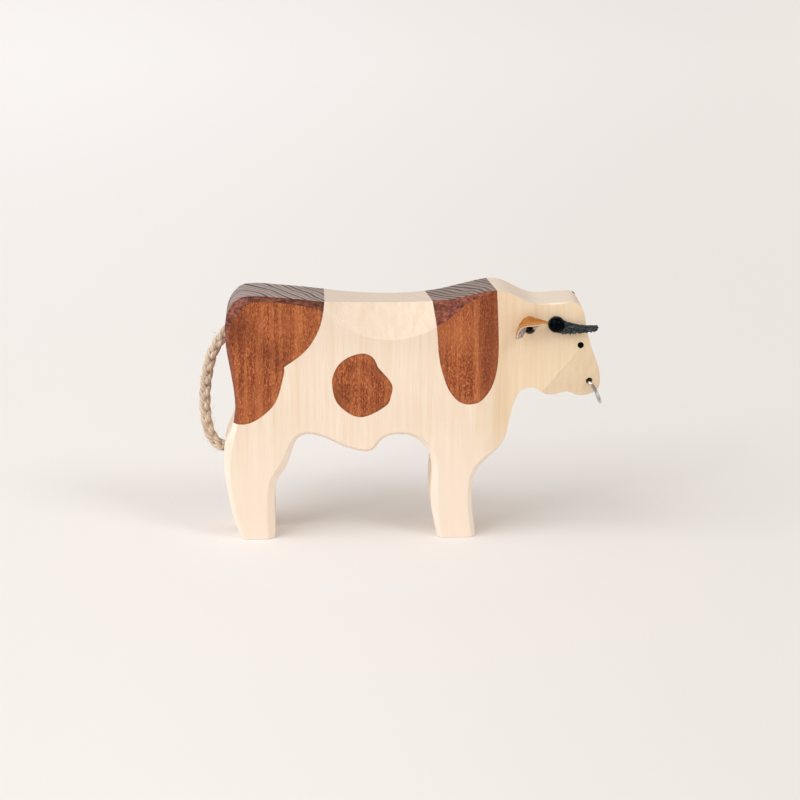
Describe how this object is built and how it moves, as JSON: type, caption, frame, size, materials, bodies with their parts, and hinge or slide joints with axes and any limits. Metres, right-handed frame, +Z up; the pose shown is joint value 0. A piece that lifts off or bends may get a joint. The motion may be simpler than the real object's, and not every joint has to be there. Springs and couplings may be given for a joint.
{
  "type": "wooden bull figurine",
  "caption": "Hand-cut wooden bull figurine with a cord tail, leather ears and horns, and a swinging nose ring.",
  "frame": {"origin": "middle of the figure's footprint, on the plane of its soles, cord tail left out", "axes": "+X from tail to muzzle, +Y to the animal's left, +Z up"},
  "size_m": [0.1503, 0.0348, 0.0935],
  "materials": {
    "wood": "sanded bare softwood with thin painted patches",
    "tan_leather": "smooth grain side, raw cut edges",
    "black_leather": "matt, raw cut edges",
    "black_lacquer": "glossy",
    "ring_steel": "drawn wire",
    "hemp_braid": "braided natural fibre"
  },
  "bodies": {
    "bull": {"wooden_body": "wood", "ear_strap": "tan_leather", "right_horn_pin": "black_lacquer", "left_horn_pin": "black_lacquer", "tail_rope": "hemp_braid"},
    "right_horn": {"right_horn": "black_leather"},
    "left_horn": {"left_horn": "black_leather"},
    "nose_ring": {"nose_ring": "ring_steel"}
  },
  "joints": [
    {"name": "nose_ring_swing", "type": "hinge", "parent": "bull", "child": "nose_ring", "pos_m": [0.06498, 0, 0.05759], "axis": [0, -1, 0], "range_deg": [-55, 105]},
    {"name": "right_horn_turn", "type": "hinge", "parent": "bull", "child": "right_horn", "pos_m": [0.052, -0.0119, 0.0807], "axis": [0, -1, 0], "range_deg": [-30, 60]},
    {"name": "left_horn_turn", "type": "hinge", "parent": "bull", "child": "left_horn", "pos_m": [0.052, 0.0119, 0.0807], "axis": [0, -1, 0], "range_deg": [-64, 26]}
  ]
}
